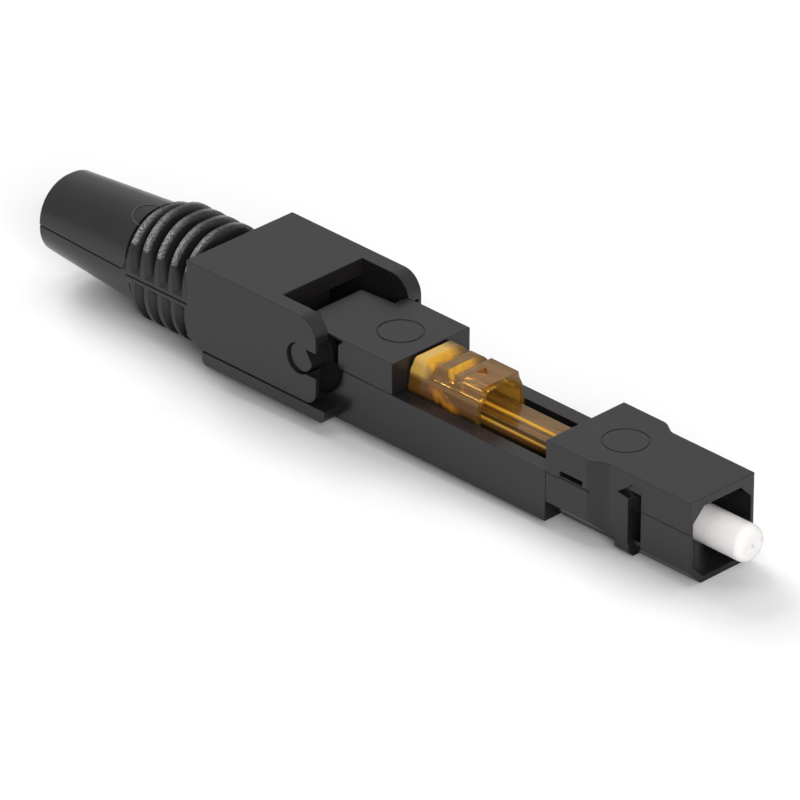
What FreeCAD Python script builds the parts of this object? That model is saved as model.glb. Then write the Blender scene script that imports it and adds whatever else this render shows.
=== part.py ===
"""Field-installable SC fibre connector, without its outer coupling grip.

Frame: millimetres. X runs along the optical axis towards the mating side, Y across, Z up.
The origin is on the optical axis, in the plane of the plug frame's front face.
"""

import FreeCAD, Part
import math
import os

Vec = FreeCAD.Vector

# Clearances
SEAM = 0.10            # gap shown as a dark line where two mouldings meet
SEAT = 0.04            # gap between two flat faces that seat on each other
SLIDE_FIT = 0.13       # side clearance of the slider in the channel
HINGE_FIT = 0.08       # radial clearance of the ears on the hinge pins
EAR_FIT = 0.09         # side clearance between an ear and the body
RAIL_FIT = 0.13        # gap between the closed cover's lower edge and the rail
FERRULE_FIT = 0.15     # radial clearance of the ferrule in the frame's partition
FIBRE_FIT = 0.03       # clearance around the fibre stub in the splice and the ferrule
SPIGOT_FIT = 0.07      # clearance of the body's spigot in the plug frame
SPRING_FIT = 0.10      # radial clearance between the spring and the holder's sleeve
SNAP_FIT = 0.08        # clearance of a snap tongue in its window

# Plug frame
FRAME_L = 11.8
FRAME_H = 6.0
FRAME_REAR_W = 6.92
FRAME_FRONT_W = 5.66
FRAME_SIDE_T = 0.25    # side wall at the front opening
FRAME_TOP_T = 0.60
FRAME_FLOOR_T = 0.40
FLARE_FRONT = 7.1      # front face to the front end of the side step
FLARE_L = 1.0
FLARE_R = 0.9
CORNER_CUT = 1.03      # lower corner chamfer, measured on the wide bottom at the front
OPENING_CUT = 0.95     # chamfer in the corners of the front opening
REAR_DEPTH = 5.45      # frame rear face to the holder's seat on the partition
PARTITION_T = 0.9
LATCH_BACK = 5.32      # front face to the rear edge of the latch slot
LATCH_W = 1.13
LATCH_TOP = 2.30
LATCH_BOTTOM = -2.15
LATCH_ARM = 0.92
FOOT_L = 1.1
FOOT_CUT = 0.45
WINDOW_L = 1.95
WINDOW_H = 0.34
WINDOW_Z = 0.96
WINDOW_INSET = 1.2     # frame rear face to the window
LIP_T = 0.07
LIP_DROP = 0.36
PART_LINE_Z = 0.76
PART_LINE_D = 0.04
MARK_R = 1.55
MARK_GROOVE = 0.10
MARK_D = 0.05
FRAME_MARK_BACK = 8.3

# Ferrule, its holder and spring
FERRULE_R = 1.25
FERRULE_GRIP = 1.46    # length held in the holder
FERRULE_STEP = 0.20    # how much smaller in radius the held end is
FERRULE_SHOULDER = 0.3 # partition's front to where the full radius starts
FERRULE_OUT = 2.65     # tip beyond the front face
FERRULE_EDGE_R = 0.55
FIBRE_R = 0.0625
FLANGE_R = 1.95
FLANGE_L = 1.4
SLEEVE_R = 1.45
SLEEVE_L = 3.5
SLEEVE_BORE_R = 0.35
FLOAT = 0.8            # how far the ferrule can be pressed back
WIRE_R = 0.14
WIRE_SIDES = 8
SPRING_TURNS = 5.5

# Body
BODY_W = 6.92
BODY_BOTTOM = -2.8
CHANNEL_L = 13.55      # open channel, from the fibre cover to the plug frame
LEDGE_T = 0.65         # width of the ledges that the slider runs on
WALL_T = 1.16
WALL_TOP = 0.76
CHANNEL_FLOOR = -1.9
BULKHEAD_T = 0.6       # at the channel's front end, inside the plug frame
BULKHEAD_HOLE_R = 0.5
SPIGOT_L = 3.2
TONGUE_OUT = 0.35
RAIL_W = 9.4
RAIL_T = 0.88
RAIL_BACK = 1.38       # cover's rear face to the rail's rear end
RAIL_FRONT = 0.77      # ear front to the rail's front end
RAIL_EDGE_R = 0.4
PASSAGE_W = 3.3        # flat drop cable
PASSAGE_H = 2.3
GUIDE_W = 0.8
GUIDE_D = 0.5

# Fibre cover
BLOCK_L = 8.4
BLOCK_SHOW = 5.6       # part of the block in front of the ears
BLOCK_TOP = 3.0
NECK_W = 4.7
NECK_TAPER = 0.25
PLATE_T = 0.16
PLATE_BACK = 2.1       # how far the near side's plate reaches behind the ear front
SIDE_CUT = 0.75        # ear front to the rear edge of the block's side face
SIDE_WEDGE = 0.4
BLOCK_TUNNEL_W = 1.6
BLOCK_TUNNEL_H = 0.8
BLOCK_MARK_BACK = 2.72

# Flip cover
COVER_L = 11.8
COVER_W = 9.4
COVER_TOP = 4.2
COVER_TOP_T = 1.2
COVER_REAR_T = 1.2
COVER_REAR_LIFT = 0.5
COVER_REAR_CUT = 1.35
EAR_L = 4.2
EAR_R = 1.5
EAR_LOWER_R = 0.9
EAR_SKIN = 0.28
EAR_RELIEF = 0.8
EAR_RELIEF_TOP = 2.55
HINGE_BACK = 1.55      # ear front to the hinge axis
HINGE_Z = 1.08
PIN_R = 1.0
PIN_SHORT = 0.2        # pin end below the ear's outer face
PIN_FLAT = 0.75        # pin axis to the flat that lets it into the ear's mouth
PIN_FLAT_TILT = 31     # degrees that the flat's normal points up from the front
HINGE_MOUTH = 0.9      # half height of the ear's snap mouth
HINGE_WALL_T = 0.6
HINGE_BOSS_R = 1.35
RECESS_R = 2.78
PAD_W = 2.9
PAD_L = 5.6
PAD_TEETH = 7
TOOTH_H = 0.2

# Tail
TAIL_L = 15.9
TAIL_END_W = 5.6
TAIL_END_H = 5.56
TAIL_END_R = 2.6
TAIL_FRONT_W = 6.3
TAIL_FRONT_H = 7.05
TAIL_FRONT_R = 2.95
RIB_W = 6.9
RIB_R = 3.2
RIB_COUNT = 5
RIB_L = 0.8
RIB_TAPER = 0.45
RIB_LEAD = 0.05        # plain stretch behind the rearmost rib
UPPER_RIB_FIRST = 1.55 # cover's rear face to the middle of its nearest rib
UPPER_RIB_PITCH = 1.3
UPPER_RIB_H = 8.5
REAR_RIB_H = 7.6       # the upper half's rearmost rib is lower
LOWER_RIB_FIRST = 1.4
LOWER_RIB_PITCH = 1.25
LOWER_RIB_H = 8.3
RIB_ROOT_W = 6.3
RIB_ROOT_H = 6.8
RIB_BAND_Z = 0.3       # half height of the plain band between the upper and lower grooves
RIB_BAND_W = 5.4       # where the band's slopes run into the grooves' floor
RIB_BAND_H = 3.1

# Slider
SLIDER_L = 6.05
SLIDER_GAP = 0.12      # rear stop against the block
SLIDER_TOP = 3.0
TOP_IN = 0.57          # how far the slider's section draws in from its skirt
BEVEL_IN = 0.45
SLIDER_BEVEL_Z = 2.5
SHOULDER_IN = 0.2
SLIDER_SHOULDER_Z = 2.0
SKIRT_BOTTOM = -0.6
SKIRT_DRAFT_Z = 0.85
SKIRT_T = 0.44
SLIDER_ROOF = 1.95
PAD_ROOF = 2.55
SLIDER_PAD_L = 2.4
RIDGE_BACK = 0.05
RIDGE_PITCH = 1.85
RIDGE_FLAT = 0.9
RIDGE_SLOPE = 0.75
RIDGE_H = 0.7
RIDGE_R = 0.18
RIDGE_END_R = 0.55
ARROW_L = 0.8
ARROW_W = 0.95
ARROW_D = 0.25
ARROW_BACK = 1.0

# Splice
SPLICE_GAP = 1.0       # splice end to the bulkhead
SPLICE_REAR = 0.5      # block front to the splice base
BASE_FIT = 0.1         # side clearance of the splice base between the ledges
BASE_WALL = 0.35
BASE_TOP = 1.0
BASE_BEVEL = 0.2
LID_TOP = 1.15
LID_STEP = 0.15
LID_SHORT = 0.15
LID_LINE = 0.06

# Stations along X, from the plug frame's front face back to the tail's end
X_FRAME_REAR = -FRAME_L
X_BODY_END = X_FRAME_REAR - SEAT
X_BLOCK_FRONT = X_BODY_END - CHANNEL_L
X_EAR = X_BLOCK_FRONT - BLOCK_SHOW
X_BOX = X_EAR - COVER_L
X_TAIL_END = X_BOX - TAIL_L
X_HINGE = X_EAR - HINGE_BACK
X_NOTCH = X_EAR - EAR_L
X_BLOCK_REAR = X_BLOCK_FRONT - BLOCK_L
X_SEAT = X_FRAME_REAR + REAR_DEPTH
X_PARTITION = X_SEAT + PARTITION_T
X_TIP = FERRULE_OUT
X_SLIDER = X_BLOCK_FRONT + SLIDER_GAP
X_SPLICE_FRONT = X_BODY_END - SPLICE_GAP

BODY_HALF = BODY_W / 2
EAR_IN = BODY_HALF + EAR_FIT
COVER_HALF = COVER_W / 2
CHANNEL_HALF = BODY_HALF - WALL_T
LEDGE_HALF = CHANNEL_HALF - LEDGE_T
BASE_HALF = LEDGE_HALF - BASE_FIT
SLOT_HALF = BASE_HALF - BASE_WALL
SKIRT_HALF = CHANNEL_HALF - SLIDE_FIT
FAR = 50.0             # reach of a cutting tool that goes right through


def box(x0, x1, y0, y1, z0, z1):
    """Box between two corners."""
    return Part.makeBox(x1 - x0, y1 - y0, z1 - z0, Vec(x0, y0, z0))


def mid_box(x0, x1, half, z0, z1):
    """Box that is centred across the connector."""
    return box(x0, x1, -half, half, z0, z1)


def cylinder_x(radius, x0, x1):
    """Cylinder on the optical axis."""
    return Part.makeCylinder(radius, x1 - x0, Vec(x0, 0, 0), Vec(1, 0, 0))


def cylinder_y(radius, x, z, y0, y1):
    """Cylinder across the connector."""
    return Part.makeCylinder(radius, y1 - y0, Vec(x, y0, z), Vec(0, 1, 0))


def both_sides(shape):
    """The shape and its mirror image across the middle plane, as a list."""
    return [shape, shape.mirror(Vec(0, 0, 0), Vec(0, 1, 0))]


def corner_arc(before, corner, after, radius):
    """Start, middle and end of the arc that rounds a corner of an outline."""
    to_before = (before - corner).normalize()
    to_after = (after - corner).normalize()
    half = to_before.getAngle(to_after) / 2
    reach = radius / math.tan(half)
    centre_way = (to_before + to_after).normalize()
    centre = corner + centre_way * (radius / math.sin(half))
    return corner + to_before * reach, centre - centre_way * radius, corner + to_after * reach


def outline(corners, place):
    """Closed wire through corners of the form (a, b, radius), where place gives a corner's point."""
    points = [place(a, b) for a, b, radius in corners]
    edges = []
    spans = []
    for index, (a, b, radius) in enumerate(corners):
        before = points[index - 1]
        after = points[(index + 1) % len(points)]
        if radius > 0:
            start, middle, end = corner_arc(before, points[index], after, radius)
            spans.append((start, end, Part.Arc(start, middle, end).toShape()))
        else:
            spans.append((points[index], points[index], None))
    for index, (start, end, arc) in enumerate(spans):
        if arc is not None:
            edges.append(arc)
        following = spans[(index + 1) % len(spans)][0]
        if (following - end).Length > 1e-6:
            edges.append(Part.makeLine(end, following))
    return Part.Wire(Part.__sortEdges__(edges))


def sharp(points):
    """Corners with no rounding."""
    return [(a, b, 0) for a, b in points]


def prism_along_x(corners, x0, x1):
    """Solid with a (y, z) section."""
    wire = outline(corners, lambda a, b: Vec(x0, a, b))
    return Part.Face(wire).extrude(Vec(x1 - x0, 0, 0))


def prism_along_y(corners, y0, y1):
    """Solid with an (x, z) side view."""
    wire = outline(corners, lambda a, b: Vec(a, y0, b))
    return Part.Face(wire).extrude(Vec(0, y1 - y0, 0))


def prism_along_z(corners, z0, z1):
    """Solid with an (x, y) plan."""
    wire = outline(corners, lambda a, b: Vec(a, b, z0))
    return Part.Face(wire).extrude(Vec(0, 0, z1 - z0))


def mirrored_section(half_corners):
    """Closed (y, z) section from its right half, listed upwards."""
    left = [(-a, b, radius) for a, b, radius in reversed(half_corners)]
    return list(half_corners) + left


def rounded_section(width, height, radius):
    """Section with rounded corners, centred on the optical axis."""
    a = width / 2
    b = height / 2
    return [(a, -b, radius), (a, b, radius), (-a, b, radius), (-a, -b, radius)]


def loft_along_x(section_a, x_a, section_b, x_b):
    """Ruled solid between two sections."""
    wire_a = outline(section_a, lambda a, b: Vec(x_a, a, b))
    wire_b = outline(section_b, lambda a, b: Vec(x_b, a, b))
    return Part.makeLoft([wire_a, wire_b], True, True)


def ring_groove(x, z):
    """Shallow round groove, as an ejector leaves on a top face."""
    outer = Part.makeCylinder(MARK_R, MARK_D + SEAM, Vec(x, 0, z - MARK_D))
    inner = Part.makeCylinder(MARK_R - MARK_GROOVE, MARK_D + SEAM, Vec(x, 0, z - MARK_D))
    return outer.cut(inner)


def whole_tail(first, pitch, heights):
    """Tail with the same ribs all round: plain cone, then the ribbed stretch up to the cover's rear face."""
    crest_half = RIB_L / 2 - RIB_TAPER / 2
    foot_half = RIB_L / 2 + RIB_TAPER / 2
    x_ribs = X_BOX - first - (RIB_COUNT - 1) * pitch - foot_half - RIB_LEAD
    end = rounded_section(TAIL_END_W, TAIL_END_H, TAIL_END_R)
    front = rounded_section(TAIL_FRONT_W, TAIL_FRONT_H, TAIL_FRONT_R)
    cone = loft_along_x(end, X_TAIL_END, front, x_ribs)
    root = rounded_section(RIB_ROOT_W, RIB_ROOT_H, min(RIB_ROOT_W, RIB_ROOT_H) / 2 - SEAT)
    band = mirrored_section(sharp([(RIB_BAND_W / 2, -RIB_BAND_H / 2), (RIB_W / 2, -RIB_BAND_Z),
                                   (RIB_W / 2, RIB_BAND_Z), (RIB_BAND_W / 2, RIB_BAND_H / 2)]))
    solids = [prism_along_x(root, x_ribs, X_BOX), prism_along_x(band, x_ribs, X_BOX)]
    for index, height in enumerate(heights):
        crest = rounded_section(RIB_W, height, RIB_R)
        middle = X_BOX - first - index * pitch
        solids.append(prism_along_x(crest, middle - crest_half, middle + crest_half))
        solids.append(loft_along_x(root, middle - foot_half, crest, middle - crest_half))
        solids.append(loft_along_x(crest, middle + crest_half, root, middle + foot_half))
    return cone.fuse(solids)


def cable_passage():
    """Space for the cable, from the tail's end to the fibre guide."""
    return mid_box(X_TAIL_END - FAR, X_BLOCK_REAR, PASSAGE_W / 2, -PASSAGE_H / 2, PASSAGE_H / 2)


def cover_box():
    """The cover's box and ears, with the notch and the hollow under the top."""
    bottom = BODY_BOTTOM + RAIL_T + RAIL_FIT
    side = [
        (X_BOX, bottom + COVER_REAR_LIFT, 0),
        (X_BOX, COVER_TOP, 0),
        (X_EAR, COVER_TOP, EAR_R),
        (X_EAR, bottom, EAR_LOWER_R),
        (X_BOX + COVER_REAR_CUT, bottom, 0),
    ]
    shape = prism_along_y(side, -COVER_HALF, COVER_HALF)
    inner_top = COVER_TOP - COVER_TOP_T
    tools = [
        mid_box(X_NOTCH, X_EAR + FAR, EAR_IN, -FAR, FAR),
        mid_box(X_BOX + COVER_REAR_T, X_NOTCH + FAR, EAR_IN, -FAR, inner_top),
        mid_box(X_BOX - FAR, X_BOX + FAR, EAR_IN, -FAR, SEAM / 2),
    ]
    return shape.cut(tools)


def hinge_mouth():
    """Cut of the hinge hole and the snap mouth that opens it to the front, through both ears."""
    hole = cylinder_y(PIN_R + HINGE_FIT, X_HINGE, HINGE_Z, -FAR, FAR)
    mouth = mid_box(X_HINGE, X_EAR + FAR, FAR, HINGE_Z - HINGE_MOUTH, HINGE_Z + HINGE_MOUTH)
    return hole.fuse(mouth)


def ear_relief():
    """Relief in an ear's front face, behind its outer skin."""
    low = BODY_BOTTOM + RAIL_T + RAIL_FIT + EAR_LOWER_R / 2
    return box(X_EAR - EAR_RELIEF, X_EAR + FAR, EAR_IN - SEAT, COVER_HALF - EAR_SKIN, low, EAR_RELIEF_TOP)


def clamp_pad():
    """Toothed pad under the cover's top that presses on the cable."""
    x0 = X_BOX + COVER_REAR_T
    top = COVER_TOP - COVER_TOP_T
    low = PASSAGE_H / 2
    pad = mid_box(x0, x0 + PAD_L, PAD_W / 2, low, top)
    step = PAD_L / PAD_TEETH
    teeth = []
    for index in range(PAD_TEETH):
        start = x0 + index * step
        tooth = sharp([(start, low + SEAT), (start + step / 2, low - TOOTH_H), (start + step, low + SEAT)])
        teeth.append(prism_along_y(tooth, -PAD_W / 2, PAD_W / 2))
    return pad.fuse(teeth)


def make_flip_cover():
    """Cover with its ears and the tail's upper half."""
    upper = mid_box(X_TAIL_END - FAR, X_BOX + SEAM, FAR, SEAM / 2, FAR)
    heights = (RIB_COUNT - 1) * [UPPER_RIB_H] + [REAR_RIB_H]
    tail = whole_tail(UPPER_RIB_FIRST, UPPER_RIB_PITCH, heights).common(upper)
    tail = tail.cut(cable_passage())
    box_part = cover_box().cut(cable_passage())
    shape = box_part.fuse([tail, clamp_pad()])
    return shape.cut([hinge_mouth()] + both_sides(ear_relief()))


def body_rear():
    """Cable trough under the cover, its rails, and the solid part under the fibre cover."""
    rail_top = BODY_BOTTOM + RAIL_T
    rail_x0 = X_BOX + RAIL_BACK
    rail_x1 = X_EAR + RAIL_FRONT
    rail_side = [
        (rail_x0, BODY_BOTTOM, RAIL_EDGE_R),
        (rail_x0, rail_top, 0),
        (rail_x1, rail_top, 0),
        (rail_x1, BODY_BOTTOM, RAIL_EDGE_R),
    ]
    rail = prism_along_y(rail_side, -RAIL_W / 2, RAIL_W / 2)
    trough = mid_box(X_BOX, X_BLOCK_REAR, BODY_HALF, BODY_BOTTOM, -SEAM / 2)
    neck = mid_box(X_BLOCK_REAR, X_EAR, NECK_W / 2, BODY_BOTTOM, WALL_TOP)
    under = mid_box(X_BLOCK_REAR, X_EAR, BODY_HALF, BODY_BOTTOM, -SEAM / 2)
    shoulder = mid_box(X_EAR - EAR_RELIEF, X_BLOCK_FRONT, BODY_HALF, BODY_BOTTOM, WALL_TOP)
    shape = rail.fuse([trough, neck, under, shoulder])
    guide = mid_box(X_BLOCK_REAR, X_BLOCK_FRONT, GUIDE_W / 2, -GUIDE_D, FAR)
    recess = cylinder_y(RECESS_R, X_HINGE, HINGE_Z, NECK_W / 2 + SEAM + HINGE_WALL_T, FAR)
    return shape.cut([guide, cable_passage()] + both_sides(recess))


def hinge_walls():
    """Two walls inside the ears, each with a round boss and a hinge pin."""
    inner = NECK_W / 2 + SEAM
    outer = inner + HINGE_WALL_T
    boss = cylinder_y(HINGE_BOSS_R, X_HINGE, HINGE_Z, inner, outer)
    web = box(X_HINGE - HINGE_BOSS_R, X_HINGE + HINGE_BOSS_R, inner, outer, -SEAM - RAIL_T, HINGE_Z)
    pin = cylinder_y(PIN_R, X_HINGE, HINGE_Z, inner, COVER_HALF - PIN_SHORT)
    flat = box(PIN_FLAT, FAR, outer, FAR, -FAR, FAR)
    flat.rotate(Vec(0, 0, 0), Vec(0, 1, 0), -PIN_FLAT_TILT)
    flat.translate(Vec(X_HINGE, 0, HINGE_Z))
    pin = pin.cut(flat)
    tie = box(X_HINGE - HINGE_BOSS_R, X_HINGE + HINGE_BOSS_R, NECK_W / 2 - SEAM, outer, -RAIL_T, WALL_TOP - SEAM)
    return both_sides(boss.fuse([web, pin, tie]))


def body_channel():
    """Open channel for the splice and slider, with a ledge along each side that the slider runs on."""
    shape = mid_box(X_BLOCK_FRONT, X_BODY_END, BODY_HALF, BODY_BOTTOM, WALL_TOP)
    ledge_z = SKIRT_BOTTOM - SEAT
    upper = mid_box(X_BLOCK_FRONT, X_BODY_END, CHANNEL_HALF, ledge_z, FAR)
    lower = mid_box(X_BLOCK_FRONT, X_BODY_END, LEDGE_HALF, CHANNEL_FLOOR, FAR)
    return shape.cut([upper, lower])


def body_spigot():
    """Hollow spigot that the plug frame is pushed on, with a snap tongue on each side."""
    half_w = frame_rear_cavity_half_w() - SPIGOT_FIT
    half_h = frame_rear_cavity_half_h() - SPIGOT_FIT
    spigot = mid_box(X_BODY_END, X_BODY_END + SPIGOT_L, half_w, -half_h, half_h)
    bore = cylinder_x(FLANGE_R + SPRING_FIT, X_BODY_END + BULKHEAD_T, X_BODY_END + SPIGOT_L + SEAM)
    hole = cylinder_x(BULKHEAD_HOLE_R, X_BODY_END - SEAM, X_BODY_END + BULKHEAD_T + SEAM)
    x0 = X_FRAME_REAR + WINDOW_INSET + SNAP_FIT
    tongue = box(x0, x0 + WINDOW_L - 2 * SNAP_FIT, half_w - SEAM, half_w + TONGUE_OUT,
                 WINDOW_Z + SNAP_FIT, WINDOW_Z + WINDOW_H - SNAP_FIT)
    return spigot.cut([bore, hole]).fuse(both_sides(tongue))


def make_body():
    """Main moulding: tail's lower half, rear, channel and spigot."""
    lower = mid_box(X_TAIL_END - FAR, X_BOX + SEAM, FAR, -FAR, -SEAM / 2)
    tail = whole_tail(LOWER_RIB_FIRST, LOWER_RIB_PITCH, RIB_COUNT * [LOWER_RIB_H])
    tail = tail.common(lower).cut(cable_passage())
    return body_rear().fuse([tail, body_channel(), body_spigot()] + hinge_walls())


def make_fibre_cover():
    """Block over the fibre guide: a narrow neck between the hinge walls and a full-width front."""
    low = WALL_TOP + SEAT
    neck_front = NECK_W / 2
    neck_rear = neck_front - NECK_TAPER
    x_step = X_EAR + NECK_TAPER
    neck_plan = [(X_BLOCK_REAR, -neck_rear), (x_step, -neck_front), (x_step, neck_front), (X_BLOCK_REAR, neck_rear)]
    neck = prism_along_z(sharp(neck_plan), low, BLOCK_TOP)
    plate = box(X_EAR, X_EAR + SIDE_CUT, -BODY_HALF, BODY_HALF, BLOCK_TOP - PLATE_T, BLOCK_TOP)
    near_plate = box(X_EAR - PLATE_BACK, X_EAR, -BODY_HALF, 0, BLOCK_TOP - PLATE_T, BLOCK_TOP)
    x_side = X_EAR + SIDE_CUT
    core = mid_box(x_step - SEAM, x_side + SEAM, neck_front, low, BLOCK_TOP)
    side = sharp([
        (x_side, low), (x_side, BLOCK_TOP - PLATE_T - SIDE_WEDGE), (x_side + SIDE_WEDGE, BLOCK_TOP - PLATE_T),
        (x_side + SIDE_WEDGE, BLOCK_TOP), (X_BLOCK_FRONT, BLOCK_TOP), (X_BLOCK_FRONT, low)])
    front = prism_along_y(side, -BODY_HALF, BODY_HALF)
    wedge_plate = mid_box(x_side - SEAT, x_side + SIDE_WEDGE + SEAT, BODY_HALF, BLOCK_TOP - PLATE_T, BLOCK_TOP)
    shape = neck.fuse([plate, near_plate, core, front, wedge_plate])
    tunnel = mid_box(X_BLOCK_REAR - FAR, X_BLOCK_FRONT + FAR, BLOCK_TUNNEL_W / 2, low - SEAM, low + BLOCK_TUNNEL_H)
    mark = ring_groove(X_BLOCK_FRONT - BLOCK_MARK_BACK, BLOCK_TOP)
    return shape.cut([tunnel, mark])


def slider_half(top_corners):
    """Right half of the slider's section, upwards from the skirt."""
    return [(SKIRT_HALF, SKIRT_BOTTOM, 0), (SKIRT_HALF, SKIRT_DRAFT_Z, 0)] + top_corners


def ridge_side_view():
    """Side view of the stretch with the two finger ridges, from the slider's rear to the pad."""
    valley = SLIDER_TOP - RIDGE_H
    x_pad = X_SLIDER + SLIDER_L - SLIDER_PAD_L
    corners = [(X_SLIDER, SKIRT_BOTTOM, 0), (X_SLIDER, valley, 0)]
    for index in range(2):
        x = X_SLIDER + RIDGE_BACK + index * RIDGE_PITCH
        corners += [
            (x, valley, 0),
            (x + RIDGE_BACK, SLIDER_TOP, RIDGE_R),
            (x + RIDGE_BACK + RIDGE_FLAT, SLIDER_TOP, RIDGE_R),
            (x + RIDGE_BACK + RIDGE_FLAT + RIDGE_SLOPE, valley, 0),
        ]
    return corners + [(x_pad + SEAM, valley, 0), (x_pad + SEAM, SKIRT_BOTTOM, 0)]


def make_slider():
    """Locking slide: skirts in the channel, two finger ridges and a raised pad."""
    x_pad = X_SLIDER + SLIDER_L - SLIDER_PAD_L
    x_front = X_SLIDER + SLIDER_L
    soft = mirrored_section(slider_half([
        (SKIRT_HALF - SHOULDER_IN, SLIDER_SHOULDER_Z, 0),
        (SKIRT_HALF - TOP_IN, SLIDER_TOP, RIDGE_END_R),
    ]))
    crisp = mirrored_section(slider_half([
        (SKIRT_HALF - SHOULDER_IN, SLIDER_SHOULDER_Z, 0),
        (SKIRT_HALF - BEVEL_IN, SLIDER_BEVEL_Z, 0),
        (SKIRT_HALF - TOP_IN, SLIDER_TOP, 0),
    ]))
    ridges = prism_along_x(soft, X_SLIDER, x_pad + SEAM).common(prism_along_y(ridge_side_view(), -FAR, FAR))
    pad = prism_along_x(crisp, x_pad, x_front)
    inner = SKIRT_HALF - SKIRT_T
    hollow = mirrored_section([(inner, SKIRT_BOTTOM - SEAM, 0), (inner, SLIDER_ROOF, SKIRT_T)])
    pad_inner = SKIRT_HALF - BEVEL_IN - SKIRT_T
    pad_hollow = mirrored_section([(pad_inner, 0, 0), (pad_inner, PAD_ROOF, SKIRT_T)])
    x_arrow = x_front - ARROW_BACK - ARROW_L
    arrow_plan = sharp([(x_arrow, -ARROW_W / 2), (x_arrow + ARROW_L, 0), (x_arrow, ARROW_W / 2)])
    tools = [
        prism_along_x(hollow, X_SLIDER - SEAM, x_front + SEAM),
        prism_along_x(pad_hollow, x_pad + SKIRT_T, x_front + SEAM),
        prism_along_z(arrow_plan, SLIDER_TOP - ARROW_D, SLIDER_TOP + SEAM),
    ]
    return ridges.fuse(pad).cut(tools)


def make_splice_base():
    """Splice base: a trough for the lid, with a V-groove for the fibre along its floor."""
    low = CHANNEL_FLOOR + SEAT
    depth = 2 * FIBRE_R
    section = mirrored_section(sharp([
        (BASE_HALF, low), (BASE_HALF, BASE_TOP - BASE_BEVEL), (BASE_HALF - BASE_BEVEL, BASE_TOP)]))
    x0 = X_BLOCK_FRONT + SPLICE_REAR
    shape = prism_along_x(section, x0, X_SPLICE_FRONT)
    trough = mid_box(x0 - SEAM, X_SPLICE_FRONT + SEAM, SLOT_HALF, 0, FAR)
    groove = prism_along_x(sharp([(0, -depth), (depth + SEAM, SEAM), (-depth - SEAM, SEAM)]),
                           x0 - SEAM, X_SPLICE_FRONT + SEAM)
    return shape.cut([trough, groove])


def make_splice_lid():
    """Splice lid: lies in the base's trough and presses the fibre into its groove."""
    half = SLOT_HALF - SEAM
    low = FIBRE_R + FIBRE_FIT
    step = LID_TOP - LID_STEP
    line = half / 3
    section = sharp([
        (-half, low), (half, low), (half, LID_TOP),
        (line + LID_LINE, LID_TOP), (line, LID_TOP - LID_LINE), (line - LID_LINE, LID_TOP),
        (-2 * LID_LINE, LID_TOP), (-2 * LID_LINE - 2 * LID_STEP, step), (-half, step)])
    x0 = X_BLOCK_FRONT + SPLICE_REAR + LID_SHORT
    return prism_along_x(section, x0, X_SPLICE_FRONT - LID_SHORT)


def frame_rear_cavity_half_w():
    """Half width of the frame's rear cavity, inside the narrow front's outer width."""
    return FRAME_FRONT_W / 2 - FRAME_SIDE_T + SEAT


def frame_rear_cavity_half_h():
    """Half height of the frame's rear cavity."""
    return FRAME_H / 2 - FRAME_TOP_T - SEAT


def frame_outside():
    """Outer form: stepped plan, chamfered lower corners and the small feet behind the latch slots."""
    rear = FRAME_REAR_W / 2
    front = FRAME_FRONT_W / 2
    x_step = -FLARE_FRONT
    half_plan = [
        (X_FRAME_REAR, rear, 0),
        (x_step - FLARE_L, rear, FLARE_R),
        (x_step, front, FLARE_R),
        (0, front, 0),
    ]
    plan = half_plan + [(a, -b, radius) for a, b, radius in reversed(half_plan)]
    low = -FRAME_H / 2
    shape = prism_along_z(plan, low, FRAME_H / 2)
    flat = front - CORNER_CUT
    wedge = prism_along_x(sharp([(flat, low), (flat + FAR, low + FAR), (flat + FAR, low - FAR), (flat, low - FAR)]),
                          X_FRAME_REAR - SEAM, SEAM)
    foot_x1 = -LATCH_BACK
    foot = prism_along_x(sharp([(flat - SEAM, low), (front - FOOT_CUT, low), (front, low + FOOT_CUT),
                                (front, low + CORNER_CUT + SEAM), (flat - SEAM, low + CORNER_CUT)]),
                         foot_x1 - FOOT_L, foot_x1 + SEAM)
    return shape.cut(both_sides(wedge)).fuse(both_sides(foot))


def latch_slot():
    """Slot through a side wall that takes an adapter's hook, with its small rearward arm."""
    x0 = -LATCH_BACK
    x1 = x0 + LATCH_W
    corner = LATCH_W / 4
    inner = FRAME_FRONT_W / 2 - FRAME_SIDE_T - SEAM
    slot = [(x0, LATCH_BOTTOM, corner), (x1, LATCH_BOTTOM, corner), (x1, LATCH_TOP, corner / 2),
            (x0 + corner, LATCH_TOP, 0), (x0, LATCH_TOP - corner, 0), (x0 - LATCH_ARM, LATCH_TOP - LATCH_ARM, 0),
            (x0, LATCH_TOP - LATCH_ARM - corner / 2, 0)]
    return prism_along_y(slot, inner, FAR)


def frame_lip():
    """Low raised lip under a snap window."""
    x0 = X_FRAME_REAR + WINDOW_INSET - SEAM
    x1 = x0 + WINDOW_L + WINDOW_L / 2
    top = PART_LINE_Z + LIP_T
    chord = Vec(x0, FRAME_REAR_W / 2 - SEAM, top)
    end = Vec(x1, FRAME_REAR_W / 2 - SEAM, top)
    middle = Vec((x0 + x1) / 2, FRAME_REAR_W / 2 - SEAM, top - LIP_DROP)
    wire = Part.Wire([Part.Arc(chord, middle, end).toShape(), Part.makeLine(end, chord)])
    lens = Part.Face(wire).extrude(Vec(0, SEAM + LIP_T, 0))
    return lens.common(box(x0, -FLARE_FRONT - FLARE_L, 0, FAR, -FAR, FAR))


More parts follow.
